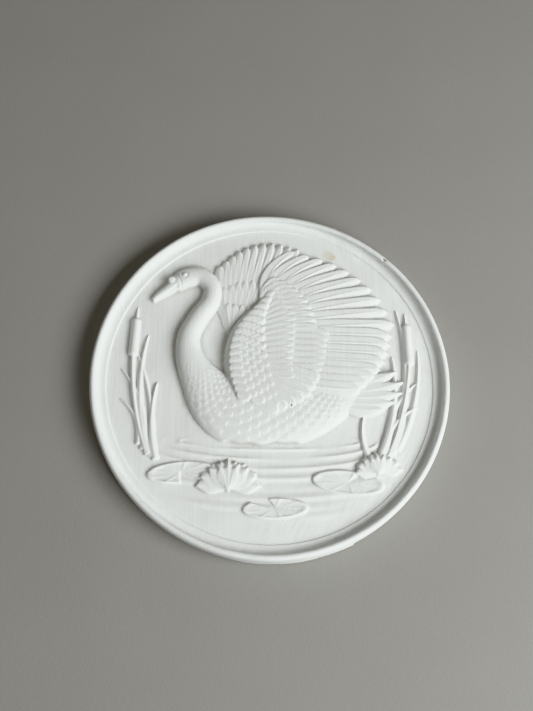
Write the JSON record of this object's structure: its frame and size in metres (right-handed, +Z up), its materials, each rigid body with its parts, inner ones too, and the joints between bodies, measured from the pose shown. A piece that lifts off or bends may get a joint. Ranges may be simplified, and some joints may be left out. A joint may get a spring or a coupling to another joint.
{
  "type": "round relief wall plaque",
  "caption": "Round cast plaster wall plaque with a moulded rim and a swan in relief among reeds and water lilies.",
  "frame": {"origin": "centre of the flat back face, where the plaque lies against the wall", "axes": "+Z up as it hangs, -Y out of the carved front, +Y into the wall, +X to the viewer's right"},
  "size_m": [0.3, 0.0195, 0.3],
  "materials": {
    "plaster": "matt white paint on cast plaster"
  },
  "bodies": {
    "root": {"plaque": "plaster"}
  },
  "joints": []
}
